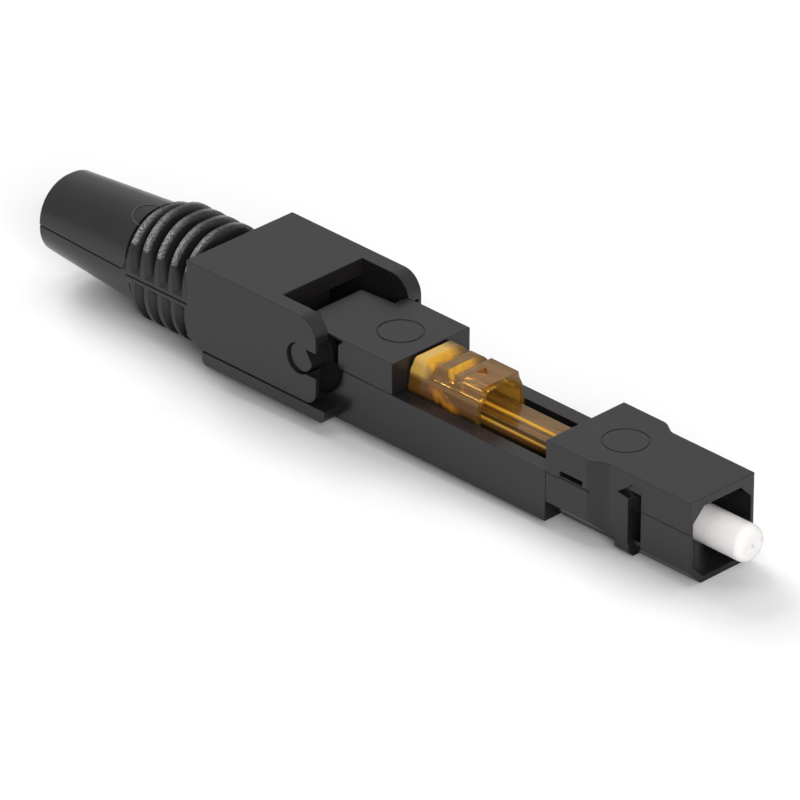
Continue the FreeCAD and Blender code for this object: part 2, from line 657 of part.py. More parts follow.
def make_plug_frame():
    """Front housing: square opening around the ferrule, partition, and rear cavity for the spigot."""
    half_w = FRAME_FRONT_W / 2 - FRAME_SIDE_T
    low = -FRAME_H / 2 + FRAME_FLOOR_T
    high = FRAME_H / 2 - FRAME_TOP_T
    cut = OPENING_CUT
    opening = sharp([(half_w, low + cut), (half_w, high - cut), (half_w - cut, high), (cut - half_w, high),
                     (-half_w, high - cut), (-half_w, low + cut), (cut - half_w, low), (half_w - cut, low)])
    window = box(X_FRAME_REAR + WINDOW_INSET, X_FRAME_REAR + WINDOW_INSET + WINDOW_L,
                 frame_rear_cavity_half_w() - SEAM, FAR, WINDOW_Z, WINDOW_Z + WINDOW_H)
    line_front = box(LATCH_W - LATCH_BACK + SEAM, FAR, FRAME_FRONT_W / 2 - PART_LINE_D, FAR,
                     PART_LINE_Z - PART_LINE_D, PART_LINE_Z)
    line_rear = box(-FAR, X_FRAME_REAR + WINDOW_INSET - SEAM, FRAME_REAR_W / 2 - PART_LINE_D, FAR,
                    PART_LINE_Z - PART_LINE_D, PART_LINE_Z)
    tools = [
        prism_along_x(opening, X_PARTITION, SEAM),
        mid_box(X_FRAME_REAR - SEAM, X_SEAT, frame_rear_cavity_half_w(),
                -frame_rear_cavity_half_h(), frame_rear_cavity_half_h()),
        cylinder_x(FERRULE_R + FERRULE_FIT, X_SEAT - SEAM, X_PARTITION + SEAM),
        ring_groove(-FRAME_MARK_BACK, FRAME_H / 2),
    ]
    for tool in (window, latch_slot(), line_front, line_rear):
        tools += both_sides(tool)
    return frame_outside().cut(tools).fuse(both_sides(frame_lip()))


def ferrule_rear():
    """Station of the ferrule's rear end."""
    return X_SEAT - SEAT - FERRULE_GRIP


def make_ferrule():
    """Ceramic ferrule with a rounded tip edge, a slightly smaller held end and its fibre bore."""
    x_full = X_PARTITION + FERRULE_SHOULDER
    rod = cylinder_x(FERRULE_R, x_full, X_TIP)
    rims = [edge for edge in rod.Edges if edge.Closed and abs(edge.CenterOfMass.x - X_TIP) < SEAT]
    rod = rod.makeFillet(FERRULE_EDGE_R, rims)
    held_end = cylinder_x(FERRULE_R - FERRULE_STEP, ferrule_rear(), x_full)
    bore = cylinder_x(FIBRE_R + FIBRE_FIT, ferrule_rear() - SEAM, X_TIP + SEAM)
    return rod.fuse(held_end).cut(bore)


def make_ferrule_holder():
    """Flanged sleeve: the ferrule is pressed in its front, the spring runs on its rear."""
    x_front = X_SEAT - SEAT
    flange = cylinder_x(FLANGE_R, x_front - FLANGE_L, x_front)
    sleeve = cylinder_x(SLEEVE_R, x_front - SLEEVE_L, x_front)
    bore = cylinder_x(FERRULE_R - FERRULE_STEP, ferrule_rear(), x_front + SEAM)
    hole = cylinder_x(SLEEVE_BORE_R, x_front - SLEEVE_L - SEAM, x_front)
    return flange.fuse(sleeve).cut([bore, hole])


def make_ferrule_spring():
    """Coil spring between the body's bulkhead and the holder's flange."""
    x0 = X_BODY_END + BULKHEAD_T + SEAT + WIRE_R
    x1 = X_SEAT - SEAT - FLANGE_L - SEAT - WIRE_R
    coil_r = SLEEVE_R + SPRING_FIT + WIRE_R
    length = x1 - x0
    helix = Part.makeHelix(length / SPRING_TURNS, length, coil_r)
    corners = []
    for index in range(WIRE_SIDES + 1):
        turn = 2 * math.pi * (index + 0.5) / WIRE_SIDES
        corners.append(Vec(coil_r + WIRE_R * math.cos(turn), 0, WIRE_R * math.sin(turn)))
    coil = Part.Wire(helix).makePipeShell([Part.makePolygon(corners)], True, True)
    coil.rotate(Vec(0, 0, 0), Vec(0, 1, 0), 90)
    coil.translate(Vec(x0, 0, 0))
    return coil


def make_fibre_stub():
    """Short fibre from the middle of the splice to the ferrule's tip."""
    x_mid = (X_BLOCK_FRONT + SPLICE_REAR + X_SPLICE_FRONT) / 2
    return cylinder_x(FIBRE_R, x_mid, X_TIP - SEAT)


PIECES = {
    "body": make_body,
    "flip_cover": make_flip_cover,
    "fibre_cover": make_fibre_cover,
    "slider": make_slider,
    "splice_base": make_splice_base,
    "splice_lid": make_splice_lid,
    "plug_frame": make_plug_frame,
    "ferrule": make_ferrule,
    "ferrule_holder": make_ferrule_holder,
    "ferrule_spring": make_ferrule_spring,
    "fibre_stub": make_fibre_stub,
}

os.makedirs("parts", exist_ok=True)
for name, make in PIECES.items():
    piece = make().removeSplitter()
    piece.exportStep("parts/" + name + ".step")
    print(name, "solids", len(piece.Solids), "valid", piece.isValid(), "volume", round(piece.Volume, 2))
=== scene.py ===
"""Dresses a field-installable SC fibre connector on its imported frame.

The connector lies on a pale floor under soft studio light. Lengths are in metres: X runs along the
optical axis towards the mating side, Y across, Z up.
"""

from __future__ import annotations

import logging
import math
from abc import ABC, abstractmethod
from dataclasses import dataclass
from enum import Enum
from typing import NamedTuple

import bpy
from mathutils import Matrix, Vector


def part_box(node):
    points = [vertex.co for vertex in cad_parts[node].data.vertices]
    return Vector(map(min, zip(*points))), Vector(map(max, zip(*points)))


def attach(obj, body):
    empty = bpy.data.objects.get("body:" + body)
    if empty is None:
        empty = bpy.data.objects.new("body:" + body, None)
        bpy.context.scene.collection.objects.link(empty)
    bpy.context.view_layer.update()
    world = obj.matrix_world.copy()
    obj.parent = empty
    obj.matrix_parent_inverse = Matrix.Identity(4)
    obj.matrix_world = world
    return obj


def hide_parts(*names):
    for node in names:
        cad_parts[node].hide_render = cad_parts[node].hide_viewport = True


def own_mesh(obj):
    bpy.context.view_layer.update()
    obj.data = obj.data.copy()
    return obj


logging.basicConfig(level=logging.INFO, format="%(message)s")
LOG = logging.getLogger("connector")

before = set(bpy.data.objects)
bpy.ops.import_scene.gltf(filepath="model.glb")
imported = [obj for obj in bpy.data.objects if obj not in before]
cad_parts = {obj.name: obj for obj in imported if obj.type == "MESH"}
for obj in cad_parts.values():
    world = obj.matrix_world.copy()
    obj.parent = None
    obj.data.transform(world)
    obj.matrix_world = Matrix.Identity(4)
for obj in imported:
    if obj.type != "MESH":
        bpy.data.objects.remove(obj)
MM = 0.001
Socket = bpy.types.NodeSocket
Colour = tuple[float, float, float]
Point = tuple[float, float, float]
Fade = tuple[float, float]  # where a mask is nought, and where it is full

WHOLE: Fade = (0.0, 1.0)
NOISE: Fade = (0.3, 0.7)  # the range that most of a noise keeps to
PLAIN_SHINE = 0.5  # the shader's usual specular level
TOOL_DEPTH = 0.02 * MM  # depth of a mould's surface texture
EDGE_SAMPLES = 6


class Finish(Enum):
    """The record's material slots."""

    BLACK = "housing_black"
    AMBER = "amber_plastic"
    ZIRCONIA = "zirconia"
    HOLDER = "holder_metal"
    SPRING = "spring_steel"
    SILICA = "silica"


class Body(Enum):
    """The bodies that a built piece rides on."""

    HOUSING = "housing"
    COVER = "cover"


# Helpers for node trees ---------------------------------------------------------------------------


class NodeKit:
    """Short calls to add and join the nodes of one tree.

    Attributes:
        tree: The node tree.
    """

    def __init__(self, tree: bpy.types.NodeTree) -> None:
        """Take the tree."""
        self.tree = tree

    def put(self, socket: Socket, value: object) -> None:
        """Link or set one input.

        Args:
            socket: The input.
            value: A socket or a value.
        """
        if isinstance(value, Socket):
            self.tree.links.new(value, socket)
        else:
            socket.default_value = value

    def feed(self, node: bpy.types.Node, **values: object) -> None:
        """Link or set a node's inputs by name.

        Args:
            node: The node.
            **values: Input names, with underscores for spaces, and their sockets or values.
        """
        for name, value in values.items():
            self.put(node.inputs[name.replace("_", " ")], value)

    def add(self, kind: str, **values: object) -> bpy.types.Node:
        """Add a node, and link or set its inputs by name.

        Args:
            kind: The node's type name.
            **values: Input names, with underscores for spaces, and their sockets or values.

        Returns:
            The new node.
        """
        node = self.tree.nodes.new(kind)
        self.feed(node, **values)
        return node

    def math(self, operation: str, *values: object, clamp: bool = False) -> Socket:
        """Work out one number.

        Args:
            operation: The Math node's operation.
            *values: Sockets or numbers.
            clamp: Whether the result stays between 0 and 1.

        Returns:
            The result.
        """
        node = self.tree.nodes.new("ShaderNodeMath")
        node.operation = operation
        node.use_clamp = clamp
        for socket, value in zip(node.inputs, values):
            self.put(socket, value)
        return node.outputs[0]


class ShaderKit(NodeKit):
    """Short calls for the textures and masks of one material, or of the world."""

    def times(self, *factors: object) -> Socket:
        """The product of several numbers."""
        product = factors[0]
        for factor in factors[1:]:
            product = self.math("MULTIPLY", product, factor)
        return product

    def most(self, *values: object) -> Socket:
        """The largest of several numbers."""
        largest = values[0]
        for value in values[1:]:
            largest = self.math("MAXIMUM", largest, value)
        return largest

    def span(self, source: Socket, start: Fade, end: tuple[float, float] = WHOLE) -> Socket:
        """Map a value from one range to another.

        Args:
            source: The value.
            start: The two ends of its range.
            end: The results at those ends.

        Returns:
            The mapped value.
        """
        node = self.add("ShaderNodeMapRange", Value=source, From_Min=start[0], From_Max=start[1],
                        To_Min=end[0], To_Max=end[1])
        return node.outputs["Result"]

    def near(self, source: Socket, middle: float, fade: Fade) -> Socket:
        """Mask what lies near a value.

        Args:
            source: The value.
            middle: The middle of the mask.
            fade: How far from it the mask is nought, and where it is full.

        Returns:
            The mask, from 0 to 1.
        """
        return self.span(self.math("ABSOLUTE", self.math("SUBTRACT", source, middle)), fade)

    def axes(self, output: str) -> tuple[Socket, ...]:
        """The X, Y and Z parts of a texture coordinate, such as Object or Normal."""
        place = self.tree.nodes.new("ShaderNodeTexCoord").outputs[output]
        return tuple(self.add("ShaderNodeSeparateXYZ", Vector=place).outputs)

    def noise(self, scale: float, detail: float, roughness: float = 0.5,
              stretch: Point = (1.0, 1.0, 1.0)) -> Socket:
        """Noise on Object coordinates.

        Args:
            scale: Noise scale, per metre.
            detail: Number of octaves.
            roughness: How strong the fine octaves are.
            stretch: Scale along each axis.

        Returns:
            The noise's factor output.
        """
        place = self.tree.nodes.new("ShaderNodeTexCoord").outputs["Object"]
        turned = self.add("ShaderNodeMapping", Vector=place, Scale=stretch)
        noise = self.add("ShaderNodeTexNoise", Vector=turned.outputs["Vector"], Scale=scale,
                         Detail=detail, Roughness=roughness)
        return noise.outputs["Fac"]

    def ramp(self, source: Socket, low: Colour, high: Colour, ends: Fade = NOISE) -> Socket:
        """Map a factor to colours between two.

        Args:
            source: The factor.
            low: The colour at the low end.
            high: The colour at the high end.
            ends: The factor at both ends.

        Returns:
            The colour.
        """
        node = self.add("ShaderNodeValToRGB", Fac=source)
        for stop, place, colour in zip(node.color_ramp.elements, ends, (low, high)):
            stop.position = place
            stop.color = (*colour, 1.0)
        return node.outputs["Color"]

    def blend(self, share: Socket, under: Socket, over: Colour) -> Socket:
        """Mix a plain colour over a coloured socket.

        Args:
            share: Share of the plain colour.
            under: The coloured socket.
            over: The plain colour.

        Returns:
            The mixed colour.
        """
        node = self.tree.nodes.new("ShaderNodeMix")
        node.data_type = "RGBA"
        for slot, value in ((0, share), (6, under), (7, (*over, 1.0))):
            self.put(node.inputs[slot], value)
        return node.outputs[2]

    def edges(self, radius: float, samples: int = EDGE_SAMPLES) -> Socket:
        """Round the edges for light.

        Args:
            radius: Radius of the edges.
            samples: How finely they are sampled.

        Returns:
            The normal.
        """
        node = self.add("ShaderNodeBevel", Radius=radius)
        node.samples = samples
        return node.outputs["Normal"]

    def relief(self, height: Socket, strength: object, depth: float,
               normal: Socket | None = None) -> Socket:
        """Raise a fine texture.

        Args:
            height: Height of the texture.
            strength: How strongly it shows.
            depth: Its depth.
            normal: The surface under it, where that isn't the mesh's own.

        Returns:
            The normal.
        """
        node = self.add("ShaderNodeBump", Height=height, Strength=strength, Distance=depth)
        if normal:
            self.feed(node, Normal=normal)
        return node.outputs["Normal"]


class Recipe(NodeKit):
    """A geometry node tree with named number inputs, run once into a plain mesh."""

    def __init__(self, name: str, **sizes: float) -> None:
        """Start the tree.

        Args:
            name: The tree's name.
            **sizes: Its inputs, with underscores for spaces, and their values.
        """
        super().__init__(bpy.data.node_groups.new(name, "GeometryNodeTree"))
        face = self.tree.interface
        face.new_socket("Geometry", in_out="OUTPUT", socket_type="NodeSocketGeometry")
        self.values: dict[str, float] = {}
        for key, value in sizes.items():
            kind = "NodeSocketInt" if isinstance(value, int) else "NodeSocketFloat"
            socket = face.new_socket(key.replace("_", " "), in_out="INPUT", socket_type=kind)
            self.values[socket.identifier] = value
        self.group = self.tree.nodes.new("NodeGroupInput")

    def size(self, key: str) -> Socket:
        """The tree's input of that name."""
        return self.group.outputs[key.replace("_", " ")]

    def steps(self) -> tuple[Socket, Socket]:
        """Lay out the path's points.

        Returns:
            A mesh line of as many points as the tree's input Points says, and each point's share
            of the way, from 0 to 1.
        """
        line = self.add("GeometryNodeMeshLine", Count=self.size("Points"))
        index = self.add("GeometryNodeInputIndex").outputs[0]
        last = self.math("SUBTRACT", self.size("Points"), 1.0)
        return line.outputs[0], self.math("DIVIDE", index, last)

    def sweep(self, line: Socket, place: tuple[Socket, Socket, Socket], wire: Socket,
              sides: int) -> Socket:
        """Move a line of points onto a path and sweep a round wire along it.

        Args:
            line: A mesh line, one vertex for each point of the path.
            place: X, Y and Z of each point.
            wire: The wire's radius.
            sides: The wire's faces around it.

        Returns:
            The swept mesh.
        """
        path = self.add("ShaderNodeCombineXYZ", X=place[0], Y=place[1], Z=place[2]).outputs[0]
        moved = self.add("GeometryNodeSetPosition", Geometry=line, Position=path).outputs[0]
        curve = self.add("GeometryNodeMeshToCurve", Mesh=moved).outputs[0]
        ring = self.add("GeometryNodeCurvePrimitiveCircle", Resolution=sides, Radius=wire)
        swept = self.add("GeometryNodeCurveToMesh", Curve=curve, Profile_Curve=ring.outputs[0],
                         Fill_Caps=True)
        return swept.outputs[0]

    def build(self, name: str, shape: Socket, material: bpy.types.Material) -> bpy.types.Object:
        """Run the tree into a plain mesh.

        Args:
            name: The piece's name.
            shape: The tree's last geometry.
            material: The piece's finish.

        Returns:
            The piece.
        """
        real = self.add("GeometryNodeRealizeInstances", Geometry=shape).outputs[0]
        smooth = self.add("GeometryNodeSetShadeSmooth", Geometry=real).outputs[0]
        finish = self.add("GeometryNodeSetMaterial", Geometry=smooth, Material=material)
        out = self.tree.nodes.new("NodeGroupOutput")
        self.put(out.inputs[0], finish.outputs[0])
        holder = bpy.data.objects.new(name + "_recipe", bpy.data.meshes.new(name + "_recipe"))
        bpy.context.scene.collection.objects.link(holder)
        modifier = holder.modifiers.new("recipe", "NODES")
        modifier.node_group = self.tree
        for identifier, value in self.values.items():
            modifier[identifier] = value
        graph = bpy.context.evaluated_depsgraph_get()
        mesh = bpy.data.meshes.new_from_object(holder.evaluated_get(graph), depsgraph=graph)
        bpy.data.objects.remove(holder)
        mesh.name = name
        piece = bpy.data.objects.new(name, mesh)
        bpy.context.scene.collection.objects.link(piece)
        return piece


# Finishes -----------------------------------------------------------------------------------------


def blank(name: str) -> tuple[bpy.types.Material, ShaderKit, bpy.types.Node]:
    """Start a material.

    Args:
        name: Its name.

    Returns:
        The material, its kit and its shader.
    """
    material = bpy.data.materials.new(name)
    material.use_nodes = True
    tree = material.node_tree
    return material, ShaderKit(tree), tree.nodes["Principled BSDF"]


def shaded(colour: Colour, share: float) -> Colour:
    """A colour darkened to a share of itself."""
    return tuple(share * part for part in colour)


def spread(middle: float, reach: float) -> tuple[float, float]:
    """The range that reaches equally far to both sides of a number."""
    return middle - reach, middle + reach


@dataclass(frozen=True)
class Ribbing:
    """Where a moulding's ribs have coarse, spark-eroded crests with a painted glint, and valleys
    darkened by painted shade.

    Attributes:
        rear: Station behind the rearmost rib.
        front: Station in front of the foremost rib.
        soft: Length over which the texture fades in.
        crest: Station of a rib's middle.
        pitch: From one rib to the next.
        crest_fade: How far from a rib's middle the texture ends, and where it is full.
        low: Height at which the coarse texture starts.
        side_fade: How far from the middle plane the texture is weakest, and where it is full.
        weakest: The texture's share on top of the ribs.
        valley_fade: How far from a rib's middle the valleys' painted shade starts, and where it is
            full.
        valley_foot: Height at which the valleys' painted shade starts, and where it is full.
        taper_foot: Height at which the valleys are narrowest.
        taper: How much narrower they are there than at the height where the texture starts.
        grit: Noise scale of the texture, per metre.
        depth: Depth of the texture.
        facets: Noise at which a facet's painted glint starts, and where it is brightest.
        faint: Share of the painted glint on the dullest facets.
        rough: How much rougher the texture is.
        sparkle: Colour of the painted glint on the texture's bright facets.
    """

    rear: float = -50.2 * MM
    front: float = -42.8 * MM
    soft: float = 0.2 * MM
    crest: float = -44.34 * MM
    pitch: float = 1.3 * MM
    crest_fade: Fade = (0.32 * MM, 0.10 * MM)
    low: float = 2.1 * MM
    side_fade: Fade = (0.4 * MM, 2.4 * MM)
    weakest: float = 0.10
    valley_fade: Fade = (0.22 * MM, 0.46 * MM)
    valley_foot: Fade = (0.3 * MM, 0.8 * MM)
    taper_foot: float = 0.5 * MM
    taper: float = 0.28 * MM
    grit: float = 11000.0
    depth: float = 0.12 * MM
    facets: Fade = (0.40, 0.62)
    faint: float = 0.10
    rough: float = 0.12
    # Colour of the painted glint on the crests' facets.
    sparkle: Colour = (0.42, 0.41, 0.42)

    def masks(self, kit: ShaderKit) -> tuple[Socket, Socket]:
        """Mask the ribs' crests and the valleys between the ribs.

        Args:
            kit: The material's kit.

        Returns:
            Both masks, from 0 to 1.
        """
        x, y, z = kit.axes("Object")
        along = kit.times(kit.span(x, (self.rear, self.rear + self.soft)),
                          kit.span(x, (self.front, self.front - self.soft)))
        off_crest = kit.math("PINGPONG", kit.math("SUBTRACT", x, self.crest), self.pitch / 2)
        beside = kit.span(kit.math("ABSOLUTE", y), self.side_fade, (self.weakest, 1.0))
        crest = kit.times(along, beside, kit.span(z, (self.low, self.low + self.soft)),
                          kit.span(off_crest, self.crest_fade))
        narrow = kit.span(z, (self.taper_foot, self.low), (-self.taper, 0.0))
        valley = kit.span(kit.math("ADD", off_crest, narrow), self.valley_fade)
        return crest, kit.times(along, valley, kit.span(z, self.valley_foot))


@dataclass(frozen=True)
class MouldedPlastic:
    """Black injection-moulded plastic: glossy, with fine tool grain, softly rounded edges and
    painted shade in recesses.

    Attributes:
        name: Material name.
        dark: Colour in the drift's dark patches.
        light: Colour in its light patches.
        gloss: Roughness of the surface.
        drift: Noise scale of the slow drift in colour, per metre.
        drift_gloss: How much the drift changes the roughness.
        grain: Noise scale of the tool's grain, per metre.
        grain_gloss: How much the grain changes the roughness.
        grain_height: Strength of the grain's relief.
        edge: Radius of the moulding's edges.
        recess: How near other surfaces have to be for a place to count as a recess.
        recess_fade: Openness at which a recess's painted shade starts, and where it is darkest.
        recess_shine: Specular level in the darkest recess, turned down as painted shade.
        recess_samples: How finely recesses are sampled.
        ribbing: The ribs' crests and valleys, where the moulding has them.
    """

    name: str = Finish.BLACK.value
    dark: Colour = (0.0122, 0.0106, 0.0122)
    light: Colour = (0.0152, 0.0134, 0.0150)
    gloss: float = 0.24
    drift: float = 260.0
    drift_gloss: float = 0.03
    grain: float = 9000.0
    grain_gloss: float = 0.015
    grain_height: float = 0.025
    edge: float = 0.09 * MM
    recess: float = 2.5 * MM
    recess_fade: Fade = (0.65, 0.30)
    recess_shine: float = 0.03
    recess_samples: int = 8
    ribbing: Ribbing | None = None

    def make(self) -> bpy.types.Material:
        """Build the material.

        Returns:
            The material.
        """
        material, kit, shader = blank(self.name)
        drift = kit.noise(self.drift, 3.0)
        colour = kit.ramp(drift, self.dark, self.light)
        grain = kit.noise(self.grain, 2.0)
        rough = kit.math("ADD", kit.span(grain, NOISE, spread(self.gloss, self.grain_gloss)),
                         kit.span(drift, NOISE, spread(0.0, self.drift_gloss)))
        normal = kit.relief(grain, self.grain_height, TOOL_DEPTH, kit.edges(self.edge))
        # Painted shade: the reflection is turned down in recesses, where other surfaces are near.
        openness = kit.add("ShaderNodeAmbientOcclusion", Distance=self.recess)
        openness.samples = self.recess_samples
        hidden = kit.span(openness.outputs["AO"], self.recess_fade)
        if self.ribbing:
            ribs = self.ribbing
            crest, valley = ribs.masks(kit)
            # The valleys between the ribs join the painted shade: their reflection is turned down.
            hidden = kit.most(hidden, valley)
            grit = kit.noise(ribs.grit, 1.0)
            normal = kit.relief(grit, crest, ribs.depth, normal)
            rough = kit.math("ADD", rough, kit.times(crest, ribs.rough))
            # The grit's relief and roughness are real; the lighter colour on its facets is a
            # painted glint.
            shine = kit.times(crest, kit.span(grit, ribs.facets, (ribs.faint, 1.0)))
            colour = kit.blend(shine, colour, ribs.sparkle)
        kit.feed(shader, Base_Color=colour, Roughness=rough, Normal=normal, IOR=1.5,
                 Specular_IOR_Level=kit.span(hidden, WHOLE, (PLAIN_SHINE, self.recess_shine)))
        return material


class PaintedLight(NamedTuple):
    """The light and shade painted on a clear part.

    Attributes:
        colour: Its own colour, with painted light and shade blended over it.
        solid: Share of the surface that scatters light instead of passing it, raised where light or
            shade is painted.
        dull: How far its reflection is turned down where light or shade is painted, from 0 to 1.
    """

    colour: Socket
    solid: Socket
    dull: Socket


@dataclass(frozen=True)
class ClearAmber(ABC):
    """Amber engineering plastic, clear and glossy, with faint flow streaks along the part.

    Attributes:
        name: Material name.
        deep: Colour of its deep streaks.
        bright: Colour of its bright streaks.
        lit: Colour where light gathers inside it.
        brown: Colour where little light reaches it.
        dim: Colour where it stands in the dark channel.
        streaks: Noise scale of the streaks, per metre.
        streak_length: Scale of the streaks along the part.
        streak_ends: Noise at the deepest and at the brightest streaks.
        streak_height: Strength of the streaks' relief.
        gloss: Roughness in the deep and on the bright streaks.
        clear: Share of light that passes through.
        thick: Share of light that passes where the plastic scatters it.
        dull_shine: Specular level where the plastic is dullest.
        edge: Radius of the moulding's edges.
    """

    name: str = Finish.AMBER.value
    deep: Colour = (0.52, 0.27, 0.045)
    bright: Colour = (0.70, 0.42, 0.10)
    lit: Colour = (0.80, 0.41, 0.025)
    brown: Colour = (0.17, 0.075, 0.016)
    dim: Colour = (0.022, 0.016, 0.008)
    streaks: float = 1400.0
    streak_length: float = 0.25
    streak_ends: Fade = (0.35, 0.65)
    streak_height: float = 0.12
    gloss: tuple[float, float] = (0.05, 0.14)
    clear: float = 0.80
    thick: float = 0.02
    dull_shine: float = 0.12
    edge: float = 0.05 * MM

    @abstractmethod
    def painted_light(self, kit: ShaderKit, colour: Socket) -> PaintedLight:
        """Paint light where it gathers in the part, and shade where it doesn't reach.

        Args:
            kit: The material's kit.
            colour: The plastic's own colour.

        Returns:
            The painted light and shade.
        """

    def make(self) -> bpy.types.Material:
        """Build the material.

        Returns:
            The material.
        """
        material, kit, shader = blank(self.name)
        streaks = kit.noise(self.streaks, 3.0, 0.6, stretch=(self.streak_length, 1.0, 1.0))
        plain = kit.ramp(streaks, self.deep, self.bright, self.streak_ends)
        # Light and shade are painted over the plastic's own streaked colour here.
        painted_light = self.painted_light(kit, plain)
        kit.feed(
            shader,
            Base_Color=painted_light.colour,
            Roughness=kit.span(streaks, NOISE, self.gloss),
            Transmission_Weight=kit.span(painted_light.solid, WHOLE, (self.clear, self.thick)),
            Specular_IOR_Level=kit.span(painted_light.dull, WHOLE, (PLAIN_SHINE, self.dull_shine)),
            Normal=kit.relief(streaks, self.streak_height, TOOL_DEPTH, kit.edges(self.edge)),
            IOR=1.55,
            Subsurface_Weight=0.15,
            Subsurface_Radius=(1.0, 0.5, 0.12),
            Subsurface_Scale=0.8 * MM)
        return material


@dataclass(frozen=True)
class SlideAmber(ClearAmber):
    """The slide's plastic: painted light on slopes, rear ridge, inside and a patch; painted shade
    on the near side.

    Attributes:
        gold: Painted light on its inside, seen from the front.
        pale: Colour of the rear ridge, which is thick and lit from above.
        glow: Colour of the light that comes out low on its near side.
        cloud: Noise scale of the uneven light inside it, per metre.
        slope_ends: Where across the slopes their light ends, at their far and near ends.
        slope_forward: How far forward a slope faces.
        slope_upward: How far upward a slope faces.
        slope_cloud: Noise at the faintest and at the brightest places on the slopes.
        slope_faint: Brightness of the faintest.
        slope_dull: How dull the slopes are.
        rear_along: Where the rear ridge ends.
        rear_across: Where its pale colour ends across it.
        rear_upward: Height at which its pale colour starts.
        rear_dull: How dull it is.
        sideways: How far towards the near side an upright face looks.
        near_side: Where the near side is, across the slide.
        far_wall: Where the inside of the far wall is, across the slide.
        shade: Height below which the near side is brown with painted shade.
        reflection_shade: Height below which the near side's reflection is turned down, as painted
            shade.
        dark: Height below which the near side's painted shade is darkest.
        patch: Station and height of the glowing patch's middle.
        patch_fall: How steeply the patch falls towards the front.
        patch_ragged: How ragged its edges are.
        patch_fade: How far off its line the patch ends, and where it is full.
        patch_ends: How far along it the patch ends, and where it is full.
        share: Share of the pale, golden and solid places.
        shade_solid: Share of the brown places that scatters light.
    """

    gold: Colour = (0.42, 0.22, 0.025)
    pale: Colour = (0.68, 0.43, 0.10)
    glow: Colour = (0.60, 0.24, 0.015)
    cloud: float = 1500.0
    slope_ends: tuple[Fade, Fade] = ((1.4 * MM, 0.3 * MM), (-1.75 * MM, -1.45 * MM))
    slope_forward: Fade = (0.30, 0.55)
    slope_upward: Fade = (0.3, 0.5)
    slope_cloud: Fade = (0.3, 0.5)
    slope_faint: float = 0.55
    slope_dull: float = 0.7
    rear_along: Fade = (-23.5 * MM, -24.2 * MM)
    rear_across: Fade = (1.3 * MM, 0.4 * MM)
    rear_upward: Fade = (1.7 * MM, 2.1 * MM)
    rear_dull: float = 0.4
    sideways: Fade = (-0.55, -0.85)
    near_side: Fade = (-1.0 * MM, -1.2 * MM)
    far_wall: Fade = (0.6 * MM, 0.8 * MM)
    shade: Fade = (2.0 * MM, 1.7 * MM)
    # Height below which the near side's reflection is turned down, as painted shade.
    reflection_shade: Fade = (2.0 * MM, 1.8 * MM)
    dark: Fade = (1.0 * MM, 0.6 * MM)
    patch: tuple[float, float] = (-22.1 * MM, 1.1 * MM)
    patch_fall: float = 0.4
    patch_ragged: float = 0.35 * MM
    patch_fade: Fade = (0.50 * MM, 0.0)
    patch_ends: Fade = (1.6 * MM, 0.7 * MM)
    share: float = 0.9
    shade_solid: float = 0.8

    def glowing(self, kit: ShaderKit, cloud: Socket) -> Socket:
        """Mask the ragged patch of light on the near side.

        Args:
            kit: The material's kit.
            cloud: Noise of the uneven light.

        Returns:
            The mask, from 0 to 1.
        """
        x, _, z = kit.axes("Object")
        station, height = self.patch
        run = kit.math("SUBTRACT", x, station)
        rise = kit.math("SUBTRACT", z, height)
        off_line = kit.math("ABSOLUTE", kit.math("MULTIPLY_ADD", run, self.patch_fall, rise))
        ragged = kit.span(cloud, NOISE, spread(0.0, self.patch_ragged))
        return kit.times(kit.span(kit.math("ADD", off_line, ragged), self.patch_fade),
                         kit.near(x, station, self.patch_ends))

    def painted_light(self, kit: ShaderKit, colour: Socket) -> PaintedLight:
        """Paint light on the slide where light gathers, and shade where it doesn't reach.

        Args:
            kit: The material's kit.
            colour: The plastic's own colour.

        Returns:
            The painted light and shade.
        """
        x, y, z = kit.axes("Object")
        forward, sideways, upward = kit.axes("Normal")
        cloud = kit.noise(self.cloud, 2.0)
        slope = kit.times(*(kit.span(y, end) for end in self.slope_ends),
                          kit.span(forward, self.slope_forward),
                          kit.span(upward, self.slope_upward),
                          kit.span(cloud, self.slope_cloud, (self.slope_faint, 1.0)))
        rear = kit.times(kit.span(x, self.rear_along), kit.span(y, self.rear_across),
                         kit.span(z, self.rear_upward))
        facing = kit.span(sideways, self.sideways)
        side = kit.times(facing, kit.span(y, self.near_side))
        within = kit.times(facing, kit.span(y, self.far_wall))
        low = kit.times(side, kit.span(z, self.shade))
        lowest = kit.times(side, kit.span(z, self.dark))
        # Painted shade on the near side, then painted light on the rear ridge, inside, slopes and
        # near-side patch.
        for mask, over in (
                (low, self.brown), (lowest, self.dim), (kit.times(rear, self.share), self.pale),
                (kit.times(within, self.share), self.gold), (slope, self.lit),
                (kit.times(low, self.glowing(kit, cloud)), self.glow)):
            colour = kit.blend(mask, colour, over)
        solid = kit.most(slope, rear, within, lowest, kit.times(low, self.shade_solid))
        # Reflection is turned down where shade and light are painted.
        dull = kit.most(kit.times(side, kit.span(z, self.reflection_shade)), kit.times(slope, self.slope_dull),
                        kit.times(rear, self.rear_dull))
        return PaintedLight(colour, kit.times(solid, self.share), dull)


